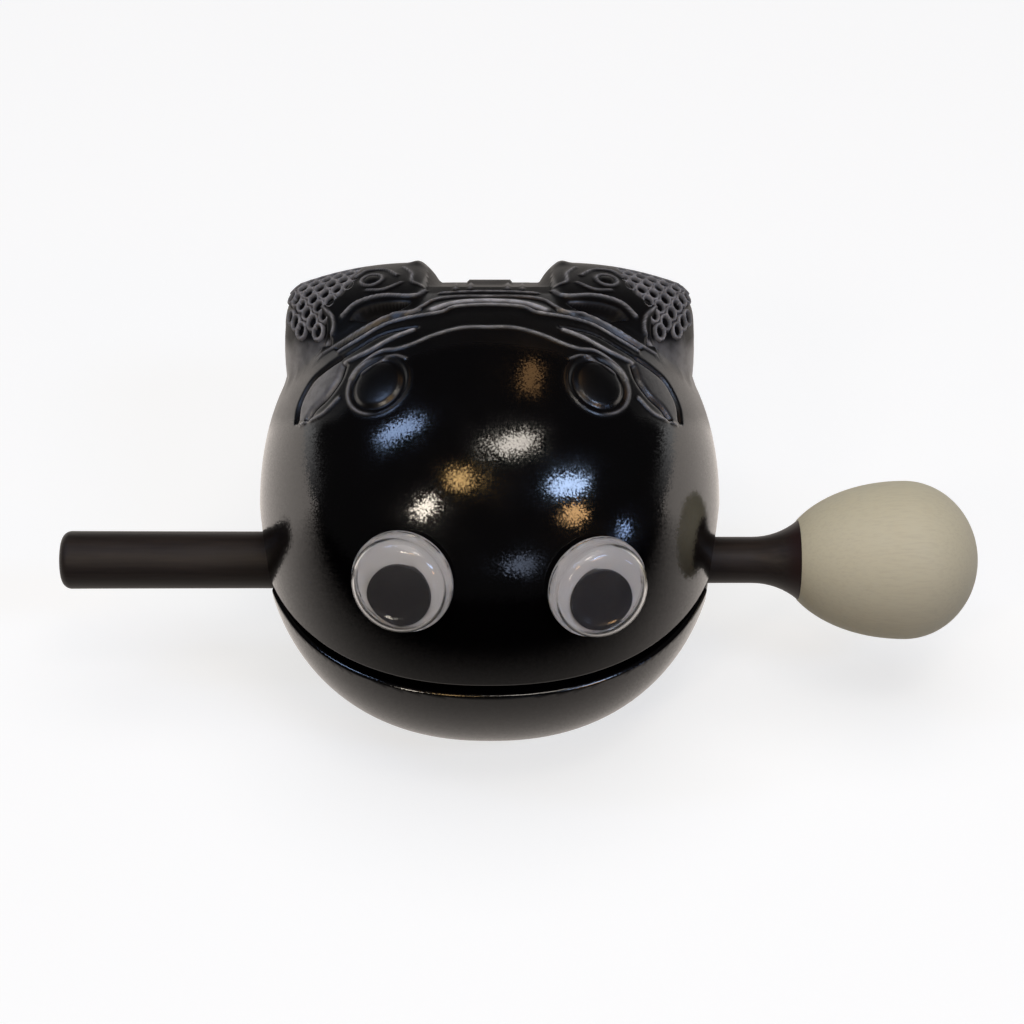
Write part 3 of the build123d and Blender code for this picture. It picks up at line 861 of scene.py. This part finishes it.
def scale_rows_tree():
    """Geometry nodes that lay one scale on each point, turned out of the wood and up to the crest."""
    tree = bpy.data.node_groups.new("fish_scale_rows", "GeometryNodeTree")
    for name, kind in (
        ("Geometry", "Geometry"), ("Scale Shape", "Object"), ("Smallest", "Float"), ("Largest", "Float"),
        ("Seed", "Int"), ("Finish", "Material"),
    ):
        tree.interface.new_socket(name, in_out="INPUT", socket_type="NodeSocket" + kind)
    tree.interface.new_socket("Geometry", in_out="OUTPUT", socket_type="NodeSocketGeometry")
    add = partial(add_node, tree, "")
    given = add("NodeGroupInput").outputs
    shape = add("GeometryNodeObjectInfo", {"Object": given["Scale Shape"]})
    outward = add("GeometryNodeInputNamedAttribute", {"Name": "outward"}, data_type="FLOAT_VECTOR")
    uphill = add("GeometryNodeInputNamedAttribute", {"Name": "uphill"}, data_type="FLOAT_VECTOR")
    stand = add("FunctionNodeAlignRotationToVector", {"Vector": outward}, axis="Z")
    turn = add("FunctionNodeAlignRotationToVector", {"Rotation": stand, "Vector": uphill}, axis="X", pivot_axis="Z")
    size = add("FunctionNodeRandomValue", {
        2: given["Smallest"], 3: given["Largest"], "Seed": given["Seed"],
    }, data_type="FLOAT")
    rows = add("GeometryNodeInstanceOnPoints", {
        "Points": given["Geometry"], "Instance": shape.outputs["Geometry"], "Rotation": turn,
        "Scale": size.outputs[1],
    })
    real = add("GeometryNodeRealizeInstances", {"Geometry": rows})
    finish = add("GeometryNodeSetMaterial", {"Geometry": real, "Material": given["Finish"]})
    add("NodeGroupOutput", {"Geometry": finish})
    return tree


class AddScales(bpy.types.Operator):
    """Lay rows of small pitted scales on the flanks of the handle's two fish"""

    bl_idname = "wooden_fish.add_scales"
    bl_label = "Add the fish scales"

    def execute(self, context):
        sizes = context.scene.fish_carving
        lacquer = bpy.data.objects["lacquered_body"].data.materials[0]
        pitch, row_height = sizes.scale_pitch / MM, sizes.scale_row / MM
        right = scale_places(pitch, row_height)
        both = np.vstack((right, right * (-1.0, 1.0, 1.0)))
        rows = make_mesh("fish_scales", to_world(both[:, 0]), [])
        for name, ways in (("outward", both[:, 1]), ("uphill", both[:, 2])):
            attribute = rows.data.attributes.new(name, "FLOAT_VECTOR", "POINT")
            attribute.data.foreach_set("vector", (ways @ FACE_AXES).ravel())
        shape = scale_shape(pitch, row_height, sizes.scale_depth / MM)
        given = {"Scale Shape": shape, "Smallest": 0.92, "Largest": 1.06, "Seed": 7, "Finish": lacquer}
        modifier = rows.modifiers.new("rows", "NODES")
        modifier.node_group = scale_rows_tree()
        for socket in modifier.node_group.interface.items_tree:
            if socket.in_out == "INPUT" and socket.name in given:
                modifier[socket.identifier] = given[socket.name]
        apply_modifiers(rows)
        remove(shape)
        dress(rows, "fish_scales", lacquer, "wooden_fish")
        return {"FINISHED"}


class PaintMallet(bpy.types.Operator):
    """Give the mallet its stained stick and pale head"""

    bl_idname = "wooden_fish.paint_mallet"
    bl_label = "Finish the mallet"

    def execute(self, context):
        colours = context.scene.fish_colours
        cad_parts["mallet_stick"].material_slots[0].material = dark_stained_wood(colours)
        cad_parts["mallet_head"].material_slots[0].material = pale_turned_wood(colours)
        return {"FINISHED"}


class PaintEyes(bpy.types.Operator):
    """Give the wiggle eyes their clear domes, white backing, loose pupils and glue"""

    bl_idname = "wooden_fish.paint_eyes"
    bl_label = "Finish the wiggle eyes"

    def execute(self, context):
        colours = context.scene.fish_colours
        finishes = {
            "glue": clear_plastic("clear_set_glue", 0.2),
            "dome": clear_plastic("clear_moulded_plastic", 0.1),
            "back": moulded_plastic("white_plastic_disc", colours.backing, 0.5, 0.6),
            "pupil": moulded_plastic("black_plastic_disc", colours.pupil, 0.5, 0.4),
        }
        for side in ("left", "right"):
            for part, finish in finishes.items():
                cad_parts[f"{side}_eye_{part}"].material_slots[0].material = finish
        return {"FINISHED"}


VIEW_MIDDLE = np.array((4.59, -1.46, 0.0))    # what the camera looks at, as (across, up, out) in millimetres
OVERHEAD_BRIGHTNESS = 0.5
FLOOR_GLOW = 0.7    # makes the floor near white to the camera
MIRRORED_FROM, MIRRORED_TO, MIRRORED_FALL = -160.0, 16.0, 2.3    # the floor's mirrored light grows towards the back
MIRRORED_TINT = "#fff5ed"
WALL_GLOW, ROOM_GLOW = 0.9, 0.02

# Lamps, each given by what the dome mirrors of it: the middle as (across, up), its long way and its width in
# millimetres on the dome, then its brightness and tint
LAMPS = {
    "window_lamp": ((-16.9, 14.1), (8.8, 4.0), 2.7, 6.4, "#b0caf8"),
    "high_lamp": ((5.4, 11.5), (8.4, 2.4), 3.2, 7.8, "#fff6ea"),
    "warm_lamp": ((-5.3, 4.7), (3.8, 1.0), 3.6, 8.2, "#ffd08c"),
    "left_lamp": ((-11.9, -0.7), (3.8, 3.3), 2.4, 15.5, "#fff3e2"),
    "right_lamp": ((15.4, 3.6), (7.6, 1.2), 3.4, 13.0, "#bcd6ff"),
    "low_warm_lamp": ((16.4, -1.8), (4.6, 0.7), 2.8, 7.6, "#ffc98c"),
    "streak_lamp": ((8.2, 24.4), (1.0, 7.0), 3.2, 2.1, "#d1a06a"),
    "small_lamp": ((26.0, -4.9), (2.0, 0.6), 2.0, 8.5, "#aac6fa"),
    "low_lamp": ((6.6, -11.5), (5.6, 0.8), 2.8, 1.9, "#b9c8e6"),
}


def mirrored_place(spot, eye, distance):
    """The place, that far from the dome, that the dome mirrors to the eye at a spot, and the spot itself."""
    point = on_ball(*spot)
    around = np.hypot(point[1], point[2])
    slope = np.array((
        math.copysign(abs(point[0]) ** (FULLNESS - 1) / HALF_WIDTH ** FULLNESS, point[0]),
        point[1] * around ** (FULLNESS - 2) / RADIUS ** FULLNESS,
        point[2] * around ** (FULLNESS - 2) / RADIUS ** FULLNESS,
    ))
    normal = Vector((slope / np.linalg.norm(slope)) @ FACE_AXES)
    start = Vector(to_world(point) * MM)
    view = (eye - start).normalized()
    return start + (2 * normal.dot(view) * normal - view) * distance, start


class SetStage(bpy.types.Operator):
    """Set the floor, the lamps, the room's glow and the camera"""

    bl_idname = "wooden_fish.set_stage"
    bl_label = "Set the stage"

    def execute(self, context):
        stage = context.scene.fish_stage
        eye = self.add_camera(context.scene, stage)
        for name, settings in LAMPS.items():
            self.add_lamp(name, eye, stage.lamp_distance, *settings)
        self.add_overhead(stage)
        self.add_floor(stage, context.scene.fish_colours)
        self.add_room(context.scene)
        context.scene.view_settings.view_transform = "Standard"
        return {"FINISHED"}

    def add_camera(self, scene, stage):
        """The camera in front of the face and square to it; returns its place."""
        middle = Vector(to_world(VIEW_MIDDLE) * MM)
        camera = new_object("camera", bpy.data.cameras.new("camera"))
        camera.data.lens = stage.lens
        camera.data.sensor_width = 36.0
        camera.data.clip_start = 0.01
        camera.location = middle + Vector(OUT) * stage.camera_distance
        camera.rotation_euler = Vector(-OUT).to_track_quat("-Z", "Y").to_euler()
        scene.camera = camera
        return camera.location.copy()

    def add_lamp(self, name, eye, distance, spot, long_way, width, brightness, tint):
        """A soft rectangular lamp that the dome mirrors at the spot, as long and wide as asked."""
        spot, long_way = np.array(spot), np.array(long_way)
        short_way = np.array((-long_way[1], long_way[0])) * width / np.linalg.norm(long_way)
        place, target = mirrored_place(spot, eye, distance)
        ends = [mirrored_place(spot + side * long_way / 2, eye, distance)[0] for side in (-1, 1)]
        edges = [mirrored_place(spot + side * short_way / 2, eye, distance)[0] for side in (-1, 1)]
        back = (place - target).normalized()
        right = (ends[1] - ends[0]) - (ends[1] - ends[0]).dot(back) * back
        rise = back.cross(right.normalized())
        lamp = bpy.data.lights.new(name, "AREA")
        lamp.shape = "ELLIPSE"
        lamp.size, lamp.size_y = right.length, abs((edges[1] - edges[0]).dot(rise))
        lamp.color = linear(tint)
        lamp.energy = brightness * math.pi ** 2 / 4 * lamp.size * lamp.size_y
        holder = new_object(name, lamp)
        turned = Matrix((right.normalized(), rise, back)).transposed().to_4x4()
        holder.matrix_world = Matrix.Translation(place) @ turned

    def add_overhead(self, stage):
        """A wide soft light over the table, which the lacquer does not mirror."""
        lamp = bpy.data.lights.new("overhead_light", "AREA")
        lamp.shape = "DISK"
        lamp.size = stage.overhead_height
        lamp.energy = OVERHEAD_BRIGHTNESS * math.pi ** 2 * stage.overhead_height ** 2
        holder = new_object("overhead_light", lamp)
        holder.location = (0.0, 0.0, stage.overhead_height)
        holder.visible_glossy = False

    def add_floor(self, stage, colours):
        """A wide pale floor that takes shadows; the lacquer mirrors it white at the sides and dim in front."""
        half = stage.floor_width / MM / 2
        corners = [(-half, -half, 0), (half, -half, 0), (half, half, 0), (-half, half, 0)]
        floor = make_mesh("floor", corners, [[0, 1, 2, 3]])
        material, add = new_material("pale_floor")
        path = add("LightPath").outputs
        seen = add("Math", {0: path["Is Camera Ray"], 1: path["Is Transmission Ray"]}, operation="MAXIMUM")
        glow = add("Math", {0: seen, 1: FLOOR_GLOW}, operation="MULTIPLY")
        diffuse = add("BsdfDiffuse", {"Color": (*colours.floor, 1.0)})
        light = add("Emission", {"Strength": glow})
        both = add("AddShader", {0: diffuse, 1: light})
        place = add("TexCoord").outputs["Object"]
        back = add("MapRange", {
            "Value": add("SeparateXYZ", {0: place}).outputs["Y"],
            "From Min": MIRRORED_FROM * MM, "From Max": MIRRORED_TO * MM,
        })
        dim = add("Math", {0: back, 1: MIRRORED_FALL}, operation="POWER")
        mirrored = add("Emission", {"Color": (*linear(MIRRORED_TINT), 1.0), "Strength": dim})
        mix = add("MixShader", {0: path["Is Glossy Ray"], 1: both, 2: mirrored})
        add("OutputMaterial", {"Surface": mix})
        floor.data.materials.append(material)

    def add_room(self, scene):
        """A dim room whose wall behind the table is pale near the horizon."""
        world = bpy.data.worlds.new("room")
        world.use_nodes = True
        world.node_tree.nodes.clear()
        add = partial(add_node, world.node_tree, "ShaderNode")
        way = add("SeparateXYZ", {0: add("TexCoord").outputs["Generated"]})
        low = add("MapRange", {
            "Value": way.outputs["Z"], "From Min": 0.2, "From Max": 0.06,
        }, interpolation_type="SMOOTHSTEP")
        behind = add("MapRange", {
            "Value": way.outputs["Y"], "From Min": -0.1, "From Max": 0.6, "To Max": WALL_GLOW,
        }, interpolation_type="SMOOTHSTEP")
        wall = add("Math", {0: low, 1: behind, 2: ROOM_GLOW}, operation="MULTIPLY_ADD")
        seen = add("LightPath").outputs["Is Camera Ray"]
        strength = add("Math", {0: wall, 1: seen}, operation="MAXIMUM")
        light = add("Background", {"Color": (1, 1, 1, 1), "Strength": strength})
        add("OutputWorld", {"Surface": light})
        scene.world = world


class WoodenFishPanel(bpy.types.Panel):
    """Sidebar panel with the steps that dress the wooden fish"""

    bl_idname = "VIEW3D_PT_wooden_fish"
    bl_label = "Wooden fish"
    bl_space_type = "VIEW_3D"
    bl_region_type = "UI"
    bl_category = "Wooden fish"

    def draw(self, context):
        for group, kind in SETTINGS.items():
            box = self.layout.box()
            for name in kind.__annotations__:
                box.prop(getattr(context.scene, group), name)
        for step in STEPS:
            self.layout.operator(step.bl_idname)


SETTINGS = {"fish_carving": CarvingSizes, "fish_colours": FinishColours, "fish_stage": StageSizes}
STEPS = (CarveBody, AddScales, PaintMallet, PaintEyes, SetStage)
CLASSES = (*SETTINGS.values(), *STEPS, WoodenFishPanel)


def register():
    for entry in CLASSES:
        bpy.utils.register_class(entry)
    for group, kind in SETTINGS.items():
        setattr(bpy.types.Scene, group, bpy.props.PointerProperty(type=kind))


def unregister():
    for group in SETTINGS:
        delattr(bpy.types.Scene, group)
    for entry in reversed(CLASSES):
        bpy.utils.unregister_class(entry)


def main():
    register()
    bpy.ops.wooden_fish.carve_body()
    bpy.ops.wooden_fish.add_scales()
    bpy.ops.wooden_fish.paint_mallet()
    bpy.ops.wooden_fish.paint_eyes()
    bpy.ops.wooden_fish.set_stage()


if __name__ == "__main__":
    main()
